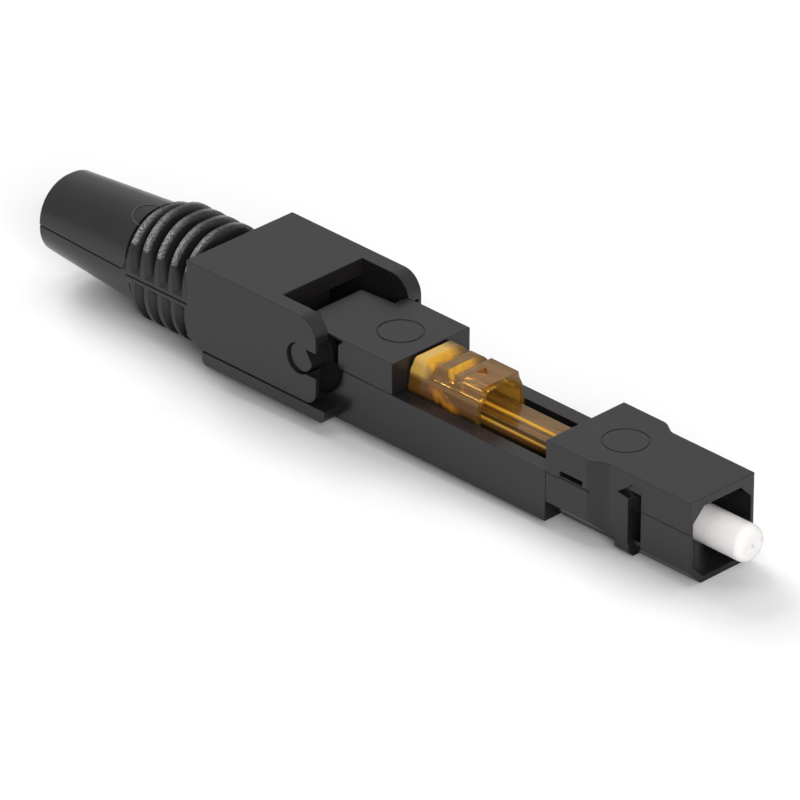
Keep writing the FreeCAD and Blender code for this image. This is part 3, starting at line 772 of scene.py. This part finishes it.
@dataclass(frozen=True)
class SpliceAmber(ClearAmber):
    """The same plastic on the long splice parts, with painted light along their edges and painted
    shade in the gap and low down.

    Attributes:
        line: Middle of the painted bright line along the lid.
        line_fade: How far from it the line ends, and where it is full.
        wander: How far the line wanders.
        wander_scale: Noise scale of its wandering, per metre.
        wander_length: Scale of its wandering along the part.
        edge_line: Middle of the brown line of painted shade beside it.
        edge_fade: How far from it the brown line ends, and where it is full.
        edge_share: Share of the brown line.
        rim: Middle of the painted bright rim of the base's near wall.
        rim_fade: How far from it the rim ends, and where it is full.
        rim_upward: Height at which the rim starts.
        gap: Middle of the gap between lid and wall, darkened with painted shade.
        gap_fade: How far from it the gap ends, and where it is full.
        gap_shade: How dark the gap is, as a share of the brown.
        below: Height below which the wall is brown with painted shade.
        outside: Where the wall is, across the part.
        bottom: Height below which the wall's painted shade is darkest.
        lit_solid: Share of the bright lines that scatters light.
        lit_dull: How dull the bright lines are.
    """

    name: str = "amber_lined"
    line: float = -0.22 * MM
    line_fade: Fade = (0.13 * MM, 0.05 * MM)
    wander: float = 0.02 * MM
    wander_scale: float = 900.0
    wander_length: float = 0.3
    edge_line: float = -0.52 * MM
    edge_fade: Fade = (0.20 * MM, 0.06 * MM)
    edge_share: float = 0.6
    rim: float = -1.50 * MM
    rim_fade: Fade = (0.11 * MM, 0.05 * MM)
    rim_upward: Fade = (0.80 * MM, 0.90 * MM)
    gap: float = -1.26 * MM
    gap_fade: Fade = (0.22 * MM, 0.14 * MM)
    gap_shade: float = 0.35
    below: Fade = (0.85 * MM, 0.75 * MM)
    outside: Fade = (-1.0 * MM, -1.2 * MM)
    bottom: Fade = (0.60 * MM, 0.40 * MM)
    lit_solid: float = 0.9
    lit_dull: float = 0.7

    def painted_light(self, kit: ShaderKit, colour: Socket) -> PaintedLight:
        """Paint light in a bright line and a bright rim, and shade in the gap between them and low
        on the wall.

        Args:
            kit: The material's kit.
            colour: The plastic's own colour.

        Returns:
            The painted light and shade.
        """
        _, y, z = kit.axes("Object")
        uneven = kit.noise(self.wander_scale, 1.0, stretch=(self.wander_length, 1.0, 1.0))
        across = kit.math("ADD", y, kit.span(uneven, NOISE, spread(0.0, self.wander)))
        lit = kit.most(kit.near(across, self.line, self.line_fade),
                       kit.times(kit.near(y, self.rim, self.rim_fade),
                                 kit.span(z, self.rim_upward)))
        gap = kit.near(y, self.gap, self.gap_fade)
        below = kit.times(kit.span(z, self.below), kit.span(y, self.outside))
        beside = kit.times(kit.near(across, self.edge_line, self.edge_fade), self.edge_share)
        # Painted shade beside the line, in the gap and low on the wall, then painted light in the
        # line and rim.
        for mask, over in (
                (kit.most(beside, below), self.brown), (gap, shaded(self.brown, self.gap_shade)),
                (kit.times(below, kit.span(z, self.bottom)), self.dim), (lit, self.lit)):
            colour = kit.blend(mask, colour, over)
        hidden = kit.most(gap, below)
        return PaintedLight(colour, kit.most(kit.times(lit, self.lit_solid), hidden),
                    kit.most(hidden, kit.times(lit, self.lit_dull)))


@dataclass(frozen=True)
class Ceramic:
    """White zirconia, ground smooth.

    Attributes:
        name: Material name.
        colour: Body colour.
        shade: Its colour's share in its darker clouds.
        cloud: Noise scale of the clouds, per metre.
        gloss: Roughness.
        uneven: How much the roughness varies.
        edge: Radius that the chamfer's edges are polished to.
        edge_samples: How finely they are sampled.
    """

    name: str = Finish.ZIRCONIA.value
    colour: Colour = (0.93, 0.90, 0.885)
    shade: float = 0.975
    cloud: float = 700.0
    gloss: float = 0.28
    uneven: float = 0.02
    edge: float = 0.2 * MM
    edge_samples: int = 8

    def make(self) -> bpy.types.Material:
        """Build the material.

        Returns:
            The material.
        """
        material, kit, shader = blank(self.name)
        cloud = kit.noise(self.cloud, 2.0)
        kit.feed(
            shader,
            Base_Color=kit.ramp(cloud, shaded(self.colour, self.shade), self.colour),
            Roughness=kit.span(cloud, NOISE, spread(self.gloss, self.uneven)),
            Normal=kit.edges(self.edge, self.edge_samples),
            Subsurface_Weight=0.3,
            Subsurface_Radius=(1.0, 0.85, 0.75),
            Subsurface_Scale=0.4 * MM)
        return material


@dataclass(frozen=True)
class Metal:
    """Turned or drawn metal with fine lines from its work.

    Attributes:
        name: Material name.
        colour: Metal colour.
        gloss: Roughness.
        lines: Noise scale of the tool lines, per metre.
        line_length: Scale of the lines around the part.
        shade: The colour's share in the lines.
        uneven: How much the lines change the roughness.
        height: Strength of the lines' relief.
        depth: Depth of the lines.
    """

    name: str
    colour: Colour
    gloss: float
    lines: float
    line_length: float = 0.15
    shade: float = 0.85
    uneven: float = 0.07
    height: float = 0.1
    depth: float = 0.01 * MM

    def make(self) -> bpy.types.Material:
        """Build the material.

        Returns:
            The material.
        """
        material, kit, shader = blank(self.name)
        lines = kit.noise(self.lines, 2.0, stretch=(1.0, self.line_length, self.line_length))
        kit.feed(
            shader,
            Metallic=1.0,
            Base_Color=kit.ramp(lines, shaded(self.colour, self.shade), self.colour),
            Roughness=kit.span(lines, NOISE, spread(self.gloss, self.uneven)),
            Normal=kit.relief(lines, self.height, self.depth))
        return material


@dataclass(frozen=True)
class Glass:
    """Drawn silica.

    Attributes:
        name: Material name.
        dark: Colour in its haze's dark patches.
        light: Colour in its light patches.
        haze: Noise scale of the haze, per metre.
        gloss: Roughness in the dark and the light patches.
    """

    name: str = Finish.SILICA.value
    dark: Colour = (0.82, 0.88, 0.90)
    light: Colour = (0.90, 0.94, 0.95)
    haze: float = 3000.0
    gloss: tuple[float, float] = (0.04, 0.10)

    def make(self) -> bpy.types.Material:
        """Build the material.

        Returns:
            The material.
        """
        material, kit, shader = blank(self.name)
        haze = kit.noise(self.haze, 1.0)
        kit.feed(
            shader,
            Base_Color=kit.ramp(haze, self.dark, self.light),
            Roughness=kit.span(haze, NOISE, self.gloss),
            Transmission_Weight=0.3,
            IOR=1.46)
        return material


# Sub-assemblies -----------------------------------------------------------------------------------


def dress(node: str, material: bpy.types.Material) -> None:
    """Give a node of the frame its finish.

    Args:
        node: The node's name.
        material: Its material.
    """
    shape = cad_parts[node]
    shape.data.materials.clear()
    shape.data.materials.append(material)
    LOG.info("%s: %s", node, material.name)


def settle(piece: bpy.types.Object, body: Body, finish: Finish) -> None:
    """Make a built piece ride on its body and name its finish.

    Args:
        piece: The piece.
        body: The body that it moves with.
        finish: The record's material slot.
    """
    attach(piece, body.value)
    LOG.info("%s: %d faces, %s", piece.name, len(piece.data.polygons), finish.value)


@dataclass
class Housing:
    """Main moulding with the tail's lower half, the fibre cover and the plug frame.

    Attributes:
        ribbing: The tail's ribs.
    """

    ribbing: Ribbing = Ribbing()

    def build(self) -> bpy.types.Material:
        """Dress the mouldings.

        Returns:
            The black plastic, for the flip cover.
        """
        black = MouldedPlastic(ribbing=self.ribbing).make()
        for node in ("body", "fibre_cover", "plug_frame"):
            dress(node, black)
        return black


@dataclass
class FlipCover:
    """Cover, ears and the tail's upper half, with a thin raised outline behind the ribs.

    Attributes:
        black: The plastic.
        station: Where the outline runs in under the rearmost rib.
        reach: How far it reaches rearwards from there.
        middle: Middle of the outline across the tail.
        half_width: Half its width.
        bead: Radius of the outline's bead.
        bead_sides: The bead's faces around it.
        points: Points along the outline.
        bead_highlight: Finish of the bead, lighter than the housing as a painted highlight on its
            rounded profile.
        corner_radius: Radius of the tail's rounded corners under the outline.
        corner_offset: The corners' middles across the tail.
        corner_height: The corners' middles above the axis.
        corner_back: How far behind the station that section of the tail is.
        slope: The tail's slope.
    """

    black: bpy.types.Material
    station: float = -50.1 * MM
    reach: float = 1.27 * MM
    middle: float = -1.0 * MM
    half_width: float = 0.97 * MM
    bead: float = 0.045 * MM
    bead_sides: int = 8
    points: int = 48
    # The bead's plastic is lighter than the housing: a painted highlight for its rounded profile
    # catching the light.
    bead_highlight: MouldedPlastic = MouldedPlastic(
        "outline_plastic", (0.055, 0.052, 0.055), (0.080, 0.076, 0.080), 0.32)
    corner_radius: float = 2.926 * MM
    corner_offset: float = 0.2 * MM
    corner_height: float = 0.560 * MM
    corner_back: float = 0.7 * MM
    slope: float = 0.088

    def outline(self) -> bpy.types.Object:
        """Sweep the outline's bead over the tail.

        Returns:
            The bead.
        """
        recipe = Recipe(
            "outline", Station=self.station, Reach=self.reach, Middle=self.middle,
            Half_width=self.half_width, Bead=self.bead, Corner_radius=self.corner_radius,
            Corner_offset=self.corner_offset, Corner_height=self.corner_height,
            Corner_back=self.corner_back, Slope=self.slope, Points=self.points)
        line, share = recipe.steps()
        turn = recipe.math("MULTIPLY_ADD", share, math.pi, math.pi / 2)
        back = recipe.math("MULTIPLY", recipe.math("COSINE", turn), recipe.size("Reach"))
        along = recipe.math("ADD", back, recipe.size("Station"))
        across = recipe.math("MULTIPLY_ADD", recipe.math("SINE", turn),
                             recipe.size("Half_width"), recipe.size("Middle"))
        beyond = recipe.math("SUBTRACT", recipe.math("ABSOLUTE", across),
                             recipe.size("Corner_offset"))
        out = recipe.math("POWER", recipe.math("MAXIMUM", beyond, 0.0), 2.0)
        radius = recipe.math("POWER", recipe.size("Corner_radius"), 2.0)
        level = recipe.math("ADD", recipe.math("SQRT", recipe.math("SUBTRACT", radius, out)),
                            recipe.size("Corner_height"))
        up = recipe.math("MULTIPLY_ADD", recipe.math("ADD", back, recipe.size("Corner_back")),
                         recipe.size("Slope"), level)
        bead = recipe.sweep(line, (along, across, up), recipe.size("Bead"), self.bead_sides)
        return recipe.build("tail_outline", bead, self.bead_highlight.make())

    def build(self) -> None:
        """Dress the cover and add the outline."""
        dress("flip_cover", self.black)
        settle(self.outline(), Body.COVER, Finish.BLACK)


@dataclass
class SplicePack:
    """Amber splice, its lid and the locking slide.

    Attributes:
        slide: Finish of the slide.
        splice: Finish of the splice and its lid.
    """

    slide: SlideAmber = SlideAmber()
    splice: SpliceAmber = SpliceAmber()

    def build(self) -> None:
        """Dress the three amber mouldings."""
        dress("slider", self.slide.make())
        lined = self.splice.make()
        for node in ("splice_base", "splice_lid"):
            dress(node, lined)


@dataclass
class FerruleUnit:
    """Ferrule, its holder, the fibre and the coil spring behind the holder's flange.

    Attributes:
        coil_radius: Radius of the spring's wire line.
        wire_radius: Radius of the wire.
        wire_sides: The wire's faces around it.
        turns: Turns of the coil.
        closing: How far the end turns close up, from 0 to 1.
        points: Points along the wire.
        travel: How far the ferrule floats; not used.
        holder: Finish of the holder.
        steel: Finish of the spring.
    """

    coil_radius: float = 1.69 * MM
    wire_radius: float = 0.14 * MM
    wire_sides: int = 12
    turns: float = 5.5
    closing: float = 0.42
    points: int = 330
    travel: float = 0.8 * MM
    holder: Metal = Metal(Finish.HOLDER.value, (0.62, 0.62, 0.63), 0.3, 4000.0)
    steel: Metal = Metal(Finish.SPRING.value, (0.5, 0.5, 0.52), 0.25, 6000.0)

    def spring(self, rear: float, length: float) -> bpy.types.Object:
        """Build the round-wire spring, with closed end turns.

        Args:
            rear: Station of its rear end.
            length: Its length.

        Returns:
            The spring.
        """
        whole_turn = 2 * math.pi
        recipe = Recipe(
            "coil_spring", Coil_radius=self.coil_radius, Wire_radius=self.wire_radius,
            Turns=self.turns, Rear=rear + self.wire_radius, Length=length - 2 * self.wire_radius,
            Closing=self.closing, Points=self.points)
        line, share = recipe.steps()
        wave = recipe.math("SINE", recipe.math("MULTIPLY", share, whole_turn))
        closed = recipe.math("MULTIPLY", recipe.math("DIVIDE", wave, whole_turn),
                             recipe.size("Closing"))
        along = recipe.math("MULTIPLY_ADD", recipe.math("SUBTRACT", share, closed),
                            recipe.size("Length"), recipe.size("Rear"))
        angle = recipe.math("MULTIPLY", recipe.math("MULTIPLY", share, recipe.size("Turns")),
                            whole_turn)
        across, up = (recipe.math("MULTIPLY", recipe.math(part, angle), recipe.size("Coil_radius"))
                      for part in ("COSINE", "SINE"))
        coil = recipe.sweep(line, (along, across, up), recipe.size("Wire_radius"), self.wire_sides)
        return recipe.build("spring_coil", coil, self.steel.make())

    def build(self) -> None:
        """Dress the unit and build its spring."""
        dress("ferrule", Ceramic().make())
        dress("ferrule_holder", self.holder.make())
        dress("fibre_stub", Glass().make())
        low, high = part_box("ferrule_spring")
        length = high[0] - low[0]
        coil = self.spring(low[0], length)
        settle(coil, Body.HOUSING, Finish.SPRING)
        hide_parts("ferrule_spring")
        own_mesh(coil)


# Studio -------------------------------------------------------------------------------------------


@dataclass(frozen=True)
class Lamp:
    """A square soft lamp that faces the connector, and that glossy surfaces don't mirror.

    Attributes:
        name: Lamp name.
        place: Its position.
        size: Its side.
        power: Its power in watts.
        aim: The point that it faces.
    """

    name: str
    place: Point
    size: float
    power: float
    aim: Point = (-0.028, 0.0, 0.0)

    def build(self) -> None:
        """Add the lamp."""
        data = bpy.data.lights.new(self.name, "AREA")
        data.size = self.size
        data.energy = self.power
        lamp = bpy.data.objects.new(self.name, data)
        lamp.location = self.place
        lamp.visible_glossy = False
        look = Vector(self.aim) - Vector(self.place)
        lamp.rotation_mode = "QUATERNION"
        lamp.rotation_quaternion = look.to_track_quat("-Z", "Y")
        bpy.context.scene.collection.objects.link(lamp)


class Brightness(NamedTuple):
    """How bright one surface is, by how it is seen.

    Attributes:
        thrown: For the light that it throws on other surfaces.
        mirrored: Seen by reflection, or through something clear.
        shown: Seen by the camera.
    """

    thrown: float
    mirrored: float
    shown: float

    def shader(self, kit: ShaderKit, kind: str) -> Socket:
        """Mix the three brightnesses.

        Args:
            kit: The material's or world's kit.
            kind: The node that takes the brightness as its colour.

        Returns:
            The mixed shader.
        """
        path = kit.tree.nodes.new("ShaderNodeLightPath").outputs
        mirror = kit.math("ADD", path["Is Glossy Ray"], path["Is Transmission Ray"], clamp=True)
        mixed, mirrored, shown = (
            kit.add(kind, Color=(grey, grey, grey, 1.0)).outputs[0] for grey in self)
        for factor, over in ((mirror, mirrored), (path["Is Camera Ray"], shown)):
            mix = kit.tree.nodes.new("ShaderNodeMixShader")
            for socket, value in zip(mix.inputs, (factor, mixed, over)):
                kit.put(socket, value)
            mixed = mix.outputs[0]
        return mixed


@dataclass
class Studio:
    """Floor, lamps and camera.

    Attributes:
        floor_half: Half the floor's side.
        floor_gap: How far the floor stays under the connector's feet.
        tail_foot: Station and height of the point that the tail rests on.
        front_foot: Station and height of the point that the front rests on.
        floor_white: Brightness of the floor.
        sky: Brightness of the soft all-round light.
        lamps: The lamps.
        eye: Camera position.
        azimuth: Camera azimuth in degrees.
        elevation: Camera elevation in degrees.
        roll: Camera roll in degrees.
        lens: Focal length in millimetres.
        sensor: Sensor width in millimetres.
        sight: Nearest and furthest distance that the camera sees.
    """

    floor_half: float = 1.2
    floor_gap: float = 0.02 * MM
    tail_foot: tuple[float, float] = (-0.0442, -0.00415)
    front_foot: tuple[float, float] = (0.0, -0.0030)
    floor_white: Brightness = Brightness(0.72, 0.74, 0.93)
    sky: Brightness = Brightness(0.14, 0.60, 1.0)
    lamps: tuple[Lamp, ...] = (
        Lamp("overhead", (-0.10, 0.12, 0.80), 1.00, 3.6),
        Lamp("left_key", (-0.65, 0.15, 0.45), 0.40, 3.8),
        Lamp("front_fill", (0.42, -0.30, 0.26), 0.30, 2.6),
    )
    eye: Point = (0.350447, -0.376320, 0.294271)
    azimuth: float = 45.172
    elevation: float = 29.031
    roll: float = 0.278
    lens: float = 432.96
    sensor: float = 36.0
    sight: tuple[float, float] = (0.01, 20.0)

    def floor(self) -> None:
        """Build the pale floor that the connector rests on."""
        (tail, tail_height), (front, front_height) = self.tail_foot, self.front_foot
        slope = (front_height - tail_height) / (front - tail)
        run = self.floor_half
        corners = [(-run, -run), (run, -run), (run, run), (-run, run)]
        points = [(x, y, front_height + slope * x - self.floor_gap) for x, y in corners]
        mesh = bpy.data.meshes.new("floor")
        mesh.from_pydata(points, [], [(0, 1, 2, 3)])
        shape = bpy.data.objects.new("floor", mesh)
        bpy.context.scene.collection.objects.link(shape)
        mesh.materials.append(self.floor_finish())

    def floor_finish(self) -> bpy.types.Material:
        """Build the floor's finish: white where it is seen, with the connector's shadow.

        Returns:
            The material.
        """
        material = bpy.data.materials.new("floor_white")
        material.use_nodes = True
        material.node_tree.nodes.clear()
        kit = ShaderKit(material.node_tree)
        kit.add("ShaderNodeOutputMaterial",
                Surface=self.floor_white.shader(kit, "ShaderNodeBsdfDiffuse"))
        return material

    def world(self) -> None:
        """Set the soft all-round light, white where the camera sees it."""
        world = bpy.data.worlds.new("studio")
        bpy.context.scene.world = world
        world.use_nodes = True
        world.node_tree.nodes.clear()
        kit = ShaderKit(world.node_tree)
        kit.add("ShaderNodeOutputWorld", Surface=self.sky.shader(kit, "ShaderNodeBackground"))

    def camera(self) -> None:
        """Set the camera at the photograph's viewing angle."""
        azimuth, elevation, roll = (
            math.radians(angle) for angle in (self.azimuth, self.elevation, self.roll))
        ahead = Vector((-math.sin(azimuth), math.cos(azimuth), 0.0))
        above = Vector((0.0, 0.0, 1.0))
        level = Vector((math.cos(azimuth), math.sin(azimuth), 0.0))
        back = above * math.sin(elevation) - ahead * math.cos(elevation)
        upright = above * math.cos(elevation) + ahead * math.sin(elevation)
        right = level * math.cos(roll) + upright * math.sin(roll)
        up = upright * math.cos(roll) - level * math.sin(roll)
        data = bpy.data.cameras.new("camera")
        data.sensor_width = self.sensor
        data.lens = self.lens
        data.clip_start, data.clip_end = self.sight
        view = bpy.data.objects.new("camera", data)
        turn = Matrix((right, up, back)).transposed().to_4x4()
        view.matrix_world = Matrix.Translation(Vector(self.eye)) @ turn
        bpy.context.scene.collection.objects.link(view)
        bpy.context.scene.camera = view

    def build(self) -> None:
        """Build floor, light and camera."""
        bpy.context.scene.view_settings.view_transform = "Standard"
        self.floor()
        self.world()
        for lamp in self.lamps:
            lamp.build()
        self.camera()
        LOG.info("studio: floor, world, %d lamps and camera", len(self.lamps))


def main() -> None:
    """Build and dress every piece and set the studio."""
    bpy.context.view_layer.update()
    black = Housing().build()
    FlipCover(black).build()
    SplicePack().build()
    FerruleUnit().build()
    Studio().build()


if __name__ == "__main__":
    main()
